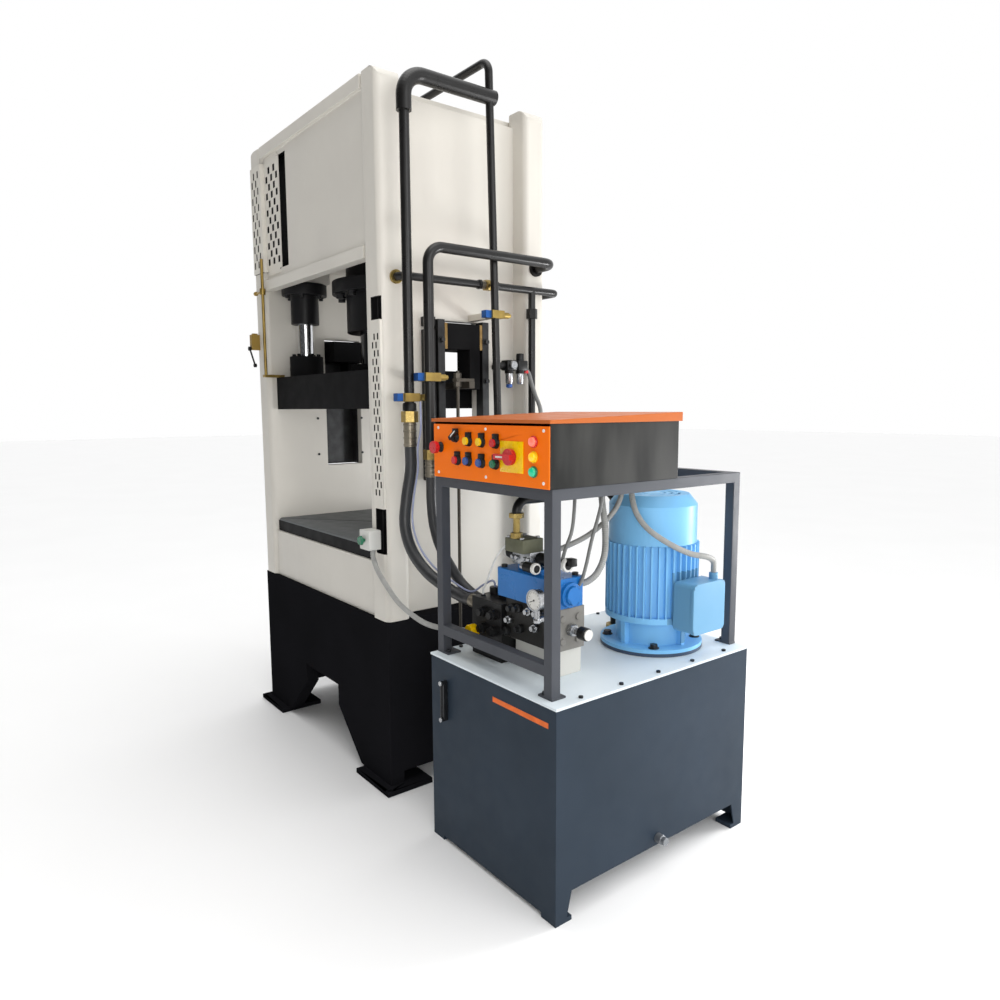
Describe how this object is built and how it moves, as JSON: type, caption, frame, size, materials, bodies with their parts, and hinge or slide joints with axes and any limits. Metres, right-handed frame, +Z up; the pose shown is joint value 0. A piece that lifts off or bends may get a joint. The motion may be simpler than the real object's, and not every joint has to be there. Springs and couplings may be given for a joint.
{
  "type": "hydraulic press",
  "caption": "Straight-sided frame hydraulic press with a guided slide, beside a power pack with tank, motor, valves and control cabinet, joined by pipes and hoses.",
  "frame": {"origin": "on the floor, at the centre of the four foundation bolt holes of the press", "axes": "+X to the right along the press front, towards the power pack; the front faces -Y; +Z up"},
  "size_m": [2.262, 0.9405, 2.763],
  "materials": {
    "press_white": "gloss paint",
    "press_black": "satin paint",
    "bolster_steel": "ground",
    "dark_steel": "blackened",
    "bronze": "machined",
    "ram_chrome": "polished",
    "yellow_zinc": "zinc plated",
    "switch_shell": "satin",
    "black_plastic": "matte",
    "green_plastic": "gloss",
    "pipe_black": "satin paint",
    "fitting_brass": "zinc plated",
    "air_unit_grey": "painted",
    "tank_slate": "satin paint",
    "lid_grey": "satin paint",
    "bright_steel": "plated",
    "frame_grey": "satin paint",
    "motor_blue": "gloss paint",
    "pump_iron": "as cast",
    "valve_blue": "gloss paint",
    "valve_black": "blackened",
    "yellow_plastic": "gloss",
    "red_plastic": "gloss",
    "blue_plastic": "gloss",
    "cabinet_dark": "satin paint",
    "cabinet_orange": "gloss paint",
    "hose_rubber": "matte",
    "conduit_grey": "ribbed"
  },
  "bodies": {
    "frame": {"base_frame": "press_black", "left_upright": "press_white", "right_upright": "press_white", "crown": "press_white", "bed_box": "press_white", "bolster": "bolster_steel", "vent_sheets": "press_white", "guide_bars": "dark_steel", "press_bolts": "dark_steel", "main_cylinder": "press_black", "side_cylinders": "press_black", "switch_boxes": "switch_shell", "main_pipework": "pipe_black", "return_pipe": "pipe_black", "pilot_pipe": "pipe_black", "pipe_fittings": "fitting_brass", "pipe_clamps": "yellow_zinc", "air_unit": "air_unit_grey", "oil_tank": "tank_slate", "tank_lid": "lid_grey", "tank_fittings": "bright_steel", "pack_frame": "frame_grey", "motor_body": "motor_blue", "fan_cover": "motor_blue", "terminal_box": "motor_blue", "pump": "pump_iron", "manifold": "bright_steel", "control_valve": "valve_blue", "pilot_valves": "valve_black", "port_block": "valve_black", "gauges": "bright_steel", "cabinet_box": "cabinet_dark", "cabinet_lid": "cabinet_orange", "cabinet_panel": "cabinet_orange", "panel_fittings": "black_plastic", "hose_front": "hose_rubber", "hose_rear": "hose_rubber", "motor_conduit": "conduit_grey", "valve_conduit_upper": "conduit_grey", "valve_conduit_lower": "conduit_grey", "station_conduit": "conduit_grey", "signal_lead": "conduit_grey"},
    "slide": {"slide_platen": "press_black", "guide_liners": "bronze", "rams": "ram_chrome", "trip_rods": "yellow_zinc"},
    "switch_lever": {"switch_lever": "black_plastic"},
    "start_button": {"start_button": "green_plastic"},
    "motor_rotor": {"motor_rotor": "bright_steel"},
    "relief_knob": {"relief_knob": "yellow_plastic"},
    "e_stop": {"e_stop": "red_plastic"},
    "selector": {"selector": "black_plastic"},
    "isolator": {"isolator": "red_plastic"},
    "button_1": {"button_1": "yellow_plastic"},
    "button_2": {"button_2": "yellow_plastic"},
    "button_3": {"button_3": "red_plastic"},
    "button_4": {"button_4": "red_plastic"},
    "button_5": {"button_5": "blue_plastic"},
    "button_6": {"button_6": "blue_plastic"},
    "button_7": {"button_7": "green_plastic"}
  },
  "joints": [
    {"name": "slide_stroke", "type": "slide", "parent": "frame", "child": "slide", "axis": [0, 0, 1], "range_m": [-0.34, 0]},
    {"name": "switch_lever_pivot", "type": "hinge", "parent": "frame", "child": "switch_lever", "pos_m": [-0.584, -0.4365, 1.759], "axis": [0, 1, 0], "range_deg": [-20, 20], "stiffness_Nm_per_rad": 1.5},
    {"name": "motor_spin", "type": "hinge", "parent": "frame", "child": "motor_rotor", "pos_m": [1.336, 0.252, 0.8], "axis": [0, 0, 1], "continuous": true},
    {"name": "start_button_press", "type": "slide", "parent": "frame", "child": "start_button", "axis": [0, 1, 0], "range_m": [0, 0.004], "stiffness_N_per_m": 900},
    {"name": "button_1_press", "type": "slide", "parent": "frame", "child": "button_1", "axis": [0, 1, 0], "range_m": [0, 0.004], "stiffness_N_per_m": 900},
    {"name": "button_2_press", "type": "slide", "parent": "frame", "child": "button_2", "axis": [0, 1, 0], "range_m": [0, 0.004], "stiffness_N_per_m": 900},
    {"name": "button_3_press", "type": "slide", "parent": "frame", "child": "button_3", "axis": [0, 1, 0], "range_m": [0, 0.004], "stiffness_N_per_m": 900},
    {"name": "button_4_press", "type": "slide", "parent": "frame", "child": "button_4", "axis": [0, 1, 0], "range_m": [0, 0.004], "stiffness_N_per_m": 900},
    {"name": "button_5_press", "type": "slide", "parent": "frame", "child": "button_5", "axis": [0, 1, 0], "range_m": [0, 0.004], "stiffness_N_per_m": 900},
    {"name": "button_6_press", "type": "slide", "parent": "frame", "child": "button_6", "axis": [0, 1, 0], "range_m": [0, 0.004], "stiffness_N_per_m": 900},
    {"name": "button_7_press", "type": "slide", "parent": "frame", "child": "button_7", "axis": [0, 1, 0], "range_m": [0, 0.004], "stiffness_N_per_m": 900},
    {"name": "e_stop_press", "type": "slide", "parent": "frame", "child": "e_stop", "axis": [0, 1, 0], "range_m": [0, 0.005], "stiffness_N_per_m": 1500},
    {"name": "selector_turn", "type": "hinge", "parent": "frame", "child": "selector", "pos_m": [1.097, -0.41, 1.381], "axis": [0, 1, 0], "range_deg": [-45, 45]},
    {"name": "isolator_turn", "type": "hinge", "parent": "frame", "child": "isolator", "pos_m": [1.376, -0.41, 1.332], "axis": [0, 1, 0], "range_deg": [0, 90]},
    {"name": "relief_knob_turn", "type": "hinge", "parent": "frame", "child": "relief_knob", "pos_m": [1.062, -0.32, 0.732], "axis": [0, 1, 0], "range_deg": [-135, 135]}
  ]
}
